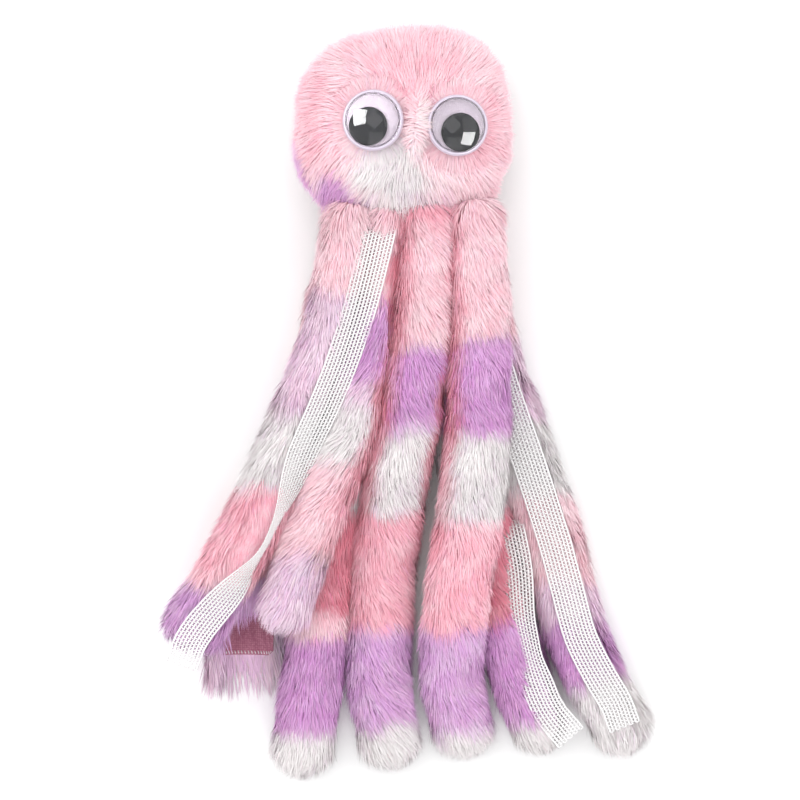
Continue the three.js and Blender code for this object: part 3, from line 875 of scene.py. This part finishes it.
rest = next(m for m in frame["record"]["mounts"] if m["name"] == "back_rest")
front_low, front_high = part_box("head_fur_front")
HEAD_MIDDLE = np.array([rest["pos_m"][0], rest["pos_m"][1], front_low.z])
HEAD_HALF = np.array([front_high.x, front_high.y, front_high.z]) - HEAD_MIDDLE
EYES = {}
for side in ("left", "right"):
    plate_low, plate_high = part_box(f"eye_{side}_back_plate")
    axis = np.array(next(j["axis"] for j in frame["joints"] if j["name"] == f"pupil_{side}_roll"))
    EYES[side] = (np.array((plate_low + plate_high) / 2), axis)
EYE_RADIUS = 18 * MM
PLATE_THICKNESS = 1.6 * MM
PANEL_LOW, PANEL_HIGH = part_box("head_base_panel")
NECK = PANEL_HIGH.y + FLOOR_GAP


def head_surface(ways, inset):
    """Points of the head's rounded form in the given directions, and its normals there."""
    half = HEAD_HALF - inset
    n = HEAD_SQUARENESS
    reach = (np.abs(ways) ** n).sum(1) ** (-1 / n)
    local = ways * reach[:, None]
    points = HEAD_MIDDLE + local * half
    normals = unit(np.sign(local) * np.abs(local) ** (n - 1) / half)
    lump = 1.6 * MM * ripple(points, 42 * MM, 31) + 0.8 * MM * ripple(points, 17 * MM, 32)
    points = above_floor(points + normals * lump[:, None], 1.5 * MM)
    points[:, 1] = np.maximum(points[:, 1], NECK + inset - HEAD_INSET)
    return points, normals


def head_dye(points):
    """The dye at each point of the head: pale pink with soft-edged patches of other dyes."""
    local = (points - HEAD_MIDDLE) / HEAD_HALF
    colours = np.tile(DYE["blush"], (len(points), 1))
    wander = 0.10 * ripple(points, 16 * MM, 51) + 0.05 * ripple(points, 6 * MM, 52)
    patches = (
        ("pink", (0.15, 0.55, 0.85), 0.4, 0.55),
        ("pink", (-0.75, 0.15, 0.6), 0.45, 0.5),
        ("pink", (0.75, 0.0, 0.7), 0.35, 0.35),
        ("white", (-0.12, -0.4, 0.95), 0.38, 0.95),
        ("white", (-0.08, -0.82, 0.65), 0.36, 0.85),
        ("white", (0.05, 0.06, 1.0), 0.15, 0.7),
        ("white", (0.35, -0.6, 0.9), 0.3, 0.3),
        ("violet", (-0.97, -0.35, 0.2), 0.34, 0.9),
        ("violet", (-0.68, -0.72, 0.6), 0.36, 0.95),
        ("violet", (-0.46, -0.82, 0.66), 0.26, 0.9),
        ("mauve", (0.55, -0.85, 0.5), 0.25, 0.35),
    )
    for name, centre, size, strength in patches:
        far = np.linalg.norm(local - np.array(centre), axis=1) / size + wander
        share = (strength * smooth((1.15 - far) / 0.5))[:, None]
        colours = colours * (1 - share) + DYE[name] * share
    return colours


HEAD_ACROSS, HEAD_DOWN = 56, 40
turns, tilts = np.meshgrid(
    np.linspace(0, 2 * np.pi, HEAD_ACROSS, endpoint=False), np.linspace(0.02, np.pi - 0.02, HEAD_DOWN)
)
sphere = np.stack([np.sin(tilts) * np.cos(turns), np.sin(tilts) * np.sin(turns), np.cos(tilts)], -1)
sphere = sphere.reshape(-1, 3)
head_points, _ = head_surface(sphere, HEAD_INSET)
head_ends = [np.arange(HEAD_ACROSS), (HEAD_DOWN - 1) * HEAD_ACROSS + np.arange(HEAD_ACROSS)[::-1]]
head_fur = make_piece(
    "head_skin", head_points, [grid_faces(HEAD_DOWN, HEAD_ACROSS)[:, ::-1], np.array(head_ends)], [UNDERCOAT]
)
paint_dye(head_fur, head_dye(head_points))
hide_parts("head_fur_front", "head_fur_back")
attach(head_fur, "root")

filling_points, _ = head_surface(sphere, HEAD_INSET + 2 * MM)
head_filling = make_piece(
    "head_filling",
    above_floor(filling_points, 3 * MM),
    [grid_faces(HEAD_DOWN, HEAD_ACROSS)[:, ::-1], np.array(head_ends)],
    [FILLING],
)
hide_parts("head_stuffing")
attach(head_filling, "root")


HEAD_PILE = 16.5 * MM
HEAD_LEAN = 0.8
HEAD_BACK = 8 * MM  # below this level the head's fur is thinned
FRINGE = 13 * MM  # the fur this close to the neck hangs down over the arms
PARTING = 9 * MM  # the fur this close to an eye is combed away from it
BARE_SHARE = 0.4  # no hair grows within this share of an eye's radius
WHORL = (0.05, 0.08, 1.0)  # where the head's fur runs out from, as shares of its half-sizes


def make_head_pile():
    """The fur of the head in two halves. It parts round the eyes, lies flat below their plates, runs out
    from a whorl above them and hangs over the arms at the neck."""
    rng = seeded("head_pile")
    area = 4 * np.pi * (HEAD_HALF - HEAD_INSET).mean() ** 2 * 1.25
    ways = unit(rng.normal(size=(int(PILE_DENSITY * area), 3)))
    roots, normals = head_surface(ways, HEAD_INSET)
    hidden = (roots[:, 2] < HEAD_BACK) & (rng.random(len(roots)) > HIDDEN_SHARE)
    neck = roots[:, 1] < NECK + 0.2 * MM
    covered = np.zeros(len(roots), bool)
    away = np.zeros((len(roots), 3))
    near_eye = np.zeros(len(roots))
    headroom = np.full(len(roots), HEAD_PILE)
    for middle, axis in EYES.values():
        offset = roots - middle
        flat = offset - axis * (offset @ axis)[:, None]
        distance = np.linalg.norm(flat, axis=1)
        in_front = normals @ axis > 0.3
        covered |= (distance < EYE_RADIUS * BARE_SHARE) & in_front
        below = (distance < EYE_RADIUS + 1 * MM) & in_front
        headroom[below] = np.maximum(-(offset @ axis)[below] - PLATE_THICKNESS, 0)
        share = smooth(1 - (distance - EYE_RADIUS) / PARTING) * in_front
        away += unit(flat) * share[:, None]
        near_eye = np.maximum(near_eye, share)
    keep = ~(hidden | neck | covered)
    roots, normals, away = roots[keep], normals[keep], away[keep]
    near_eye, headroom = near_eye[keep], headroom[keep]
    whorl = HEAD_MIDDLE + HEAD_HALF * WHORL
    flow = unit(roots - whorl) + np.array((0, -0.15, 0))
    swirl = 0.5 * ripple(roots, 30 * MM, 61) + 0.25 * ripple(roots, 10 * MM, 62)
    flow = flow + np.cross(normals, flow) * (0.25 + swirl)[:, None]
    flow = unit(flow) * (1 - near_eye)[:, None] + away * 1.2
    flow = unit(flow - normals * (flow * normals).sum(1)[:, None])
    fringe = smooth((NECK + FRINGE - roots[:, 1]) / FRINGE)[:, None]
    flow = unit(flow * (1 - 0.7 * fringe) + np.array((0, -0.7, -0.1)) * fringe)
    lean = HEAD_LEAN + 0.2 * ripple(roots, 20 * MM, 63) - 0.25 * near_eye
    lean = lean * (1 - 0.5 * fringe[:, 0])
    lean = np.minimum(lean, 0.7 * np.arcsin(headroom / HEAD_PILE * 0.9))
    colours = head_dye(roots) * (1 + 0.05 * ripple(roots, 12 * MM, 64))[:, None]
    length = HEAD_PILE * (1 + 0.1 * fringe[:, 0])
    for half, chosen in (("front", roots[:, 2] > HEAD_MIDDLE[2]), ("back", roots[:, 2] <= HEAD_MIDDLE[2])):
        at = roots[chosen]
        cells = [cell_ids(at, 3.5 * MM, 70), cell_ids(at, 9 * MM, 74)]
        picked = [values[chosen] for values in (normals, flow, length, lean, colours)]
        piece = grow_pile(f"head_pile_{half}", at, *picked, cells, rng)
        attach(piece, "root")


make_head_pile()


PANEL_STEPS = 72


def make_base_panel():
    """The knitted panel that closes the head, sewn round its edge to the head's fabric."""
    middle = np.array((PANEL_LOW + PANEL_HIGH) / 2)
    half = np.array((PANEL_HIGH - PANEL_LOW) / 2) - (HEAD_INSET, 0, HEAD_INSET)
    turn = np.linspace(0, 2 * np.pi, PANEL_STEPS, endpoint=False)
    c, s = np.cos(turn), np.sin(turn)
    reach = (np.abs(c) ** HEAD_SQUARENESS + np.abs(s) ** HEAD_SQUARENESS) ** (-1 / HEAD_SQUARENESS)
    puckers = 1 + 0.01 * np.sin(turn * 24)
    rim = np.stack([c * reach * puckers * half[0], 0 * c, s * reach * puckers * half[2]], 1)
    rows = [(0.05, -0.75), (0.6, -0.75), (0.94, -0.8), (1.0, -0.3), (1.0, 0.3), (0.94, 0.8), (0.05, 0.8)]
    points = np.stack([middle + rim * share + (0, level * half[1], 0) for share, level in rows])
    around = np.arange(PANEL_STEPS)
    ends = np.array([around[::-1], (len(rows) - 1) * PANEL_STEPS + around])
    faces = [grid_faces(len(rows), PANEL_STEPS), ends]
    panel = make_piece("head_panel", points.reshape(-1, 3), faces, [LINING])
    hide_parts("head_base_panel")
    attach(panel, "root")


make_base_panel()


# ---- eyes ---------------------------------------------------------------------------------------------

LATHE_STEPS = 144
DOME_HEIGHT = 8.5 * MM
DOME_WALL = 0.9 * MM
DOME_SKIRT = 1.0 * MM
FLANGE = 1.0 * MM
PLATE_LIP = 0.7 * MM  # what shows of the plate outside the dome
PUPIL_RADIUS = 11.2 * MM
PUPIL_THICKNESS = 1.2 * MM

PLATE = mottled(
    "eye_plate_plastic",
    linear((200, 186, 200)),
    linear((210, 197, 211)),
    6 * MM,
    0.6,
    bump=0.00002,
    Specular_IOR_Level=0.1,
)
DOME, _, _ = new_material("eye_dome_plastic", (1, 1, 1), 0.015, Transmission_Weight=1.0, IOR=1.47)
DOME_RIM_ROWS = 4  # the rows of faces in a dome's profile that make up its moulded rim
DOME_RIM = mottled(
    "eye_dome_rim_plastic",
    linear((214, 203, 220)),
    linear((222, 212, 228)),
    5 * MM,
    0.4,
    bump=0.00001,
    Specular_IOR_Level=0.3,
)
PUPIL = mottled(
    "pupil_plastic",
    (0.006, 0.006, 0.009),
    (0.014, 0.014, 0.018),
    0.8 * MM,
    0.45,
    bump=0.00003,
    Specular_IOR_Level=0.02,
)


def lathed(name, profile, materials, middle, axis, rim_rows=0):
    """A closed profile of (radius, height) points turned about axis, from middle outwards. Its first
    rim_rows of faces take the second material."""
    profile = np.array(profile)
    angles = np.linspace(0, 2 * np.pi, LATHE_STEPS, endpoint=False)
    x = unit(np.cross((0, 1, 0), axis))
    y = np.cross(axis, x)
    rings = (
        profile[:, 0, None, None] * (np.cos(angles)[None, :, None] * x + np.sin(angles)[None, :, None] * y)
        + profile[:, 1, None, None] * np.array(axis)
        + np.array(middle)
    )
    rows = len(profile)
    faces = [grid_faces(rows, LATHE_STEPS)]
    if profile[0, 0] > 1e-6:
        last = (rows - 1) * LATHE_STEPS
        c = np.arange(LATHE_STEPS)
        n = (c + 1) % LATHE_STEPS
        faces.append(np.stack([last + c, last + n, n, c], 1))
    indices = np.zeros(sum(len(f) for f in faces))
    indices[: rim_rows * LATHE_STEPS] = 1
    piece = make_piece(name, rings.reshape(-1, 3), faces, materials, indices)
    weld(piece)
    return piece


def weld(piece):
    """Joins the points that meet on the axis and turns every face outwards."""
    work = bmesh.new()
    work.from_mesh(piece.data)
    bmesh.ops.remove_doubles(work, verts=work.verts, dist=0.005 * MM)
    bmesh.ops.recalc_face_normals(work, faces=work.faces)
    work.to_mesh(piece.data)
    work.free()


def rounded_disc(radius, low, high, edge):
    """Profile of a disc with rounded rims, from the axis below to the axis above."""
    bend = np.linspace(-np.pi / 2, np.pi / 2, 9)
    middle = (low + high) / 2
    rim = [(radius - edge + edge * math.cos(a), middle + (high - low) / 2 * math.sin(a)) for a in bend]
    return [(0, low), *rim, (0, high)]


def dome_profile(base):
    """A clear cap with a flat flange: outside from the flange's rim to the top, then back down inside."""
    rim = EYE_RADIUS - PLATE_LIP
    wall = rim - FLANGE
    profile = [(rim, base), (rim, base + DOME_WALL * 0.7), (rim - 0.3 * MM, base + DOME_WALL)]
    profile += [(wall + 0.3 * MM, base + DOME_WALL), (wall, base + DOME_WALL + 0.3 * MM)]
    profile += cap_points(wall, base + DOME_SKIRT, base + DOME_HEIGHT)
    profile += cap_points(wall - DOME_WALL, base + DOME_SKIRT, base + DOME_HEIGHT - DOME_WALL)[::-1]
    profile += [(wall - DOME_WALL, base)]
    return profile


def cap_points(radius, low, high):
    """Points of a spherical cap's profile from its edge up to the axis."""
    ball = (radius**2 + (high - low) ** 2) / (2 * (high - low))
    widest = math.asin(radius / ball)
    return [
        (ball * math.sin(a), high - ball * (1 - math.cos(a))) for a in np.linspace(widest, 0, 16)
    ]


for side, (plate_middle, axis) in EYES.items():
    seat = plate_middle - axis * PLATE_THICKNESS / 2
    plate = lathed(
        f"eye_{side}_plate", rounded_disc(EYE_RADIUS, 0, PLATE_THICKNESS, 0.7 * MM), [PLATE], seat, axis
    )
    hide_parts(f"eye_{side}_back_plate")
    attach(plate, "root")
    profile = dome_profile(PLATE_THICKNESS + 0.1 * MM)
    dome = lathed(f"eye_{side}_lens", profile, [DOME, DOME_RIM], seat, axis, DOME_RIM_ROWS)
    shone_on = bpy.data.collections.new(f"eye_{side}_shine")
    shone_on.objects.link(dome)
    gloss_lights[side].light_linking.receiver_collection = shone_on
    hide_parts(f"eye_{side}_dome")
    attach(dome, "root")
    pupil_low, pupil_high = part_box(f"eye_{side}_pupil")
    pupil_middle = np.array((pupil_low + pupil_high) / 2) - axis * PUPIL_THICKNESS / 2
    disc = lathed(
        f"eye_{side}_pupil_disc",
        rounded_disc(PUPIL_RADIUS, 0, PUPIL_THICKNESS, 0.5 * MM),
        [PUPIL],
        pupil_middle,
        axis,
    )
    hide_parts(f"eye_{side}_pupil")
    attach(disc, f"pupil_{side}")
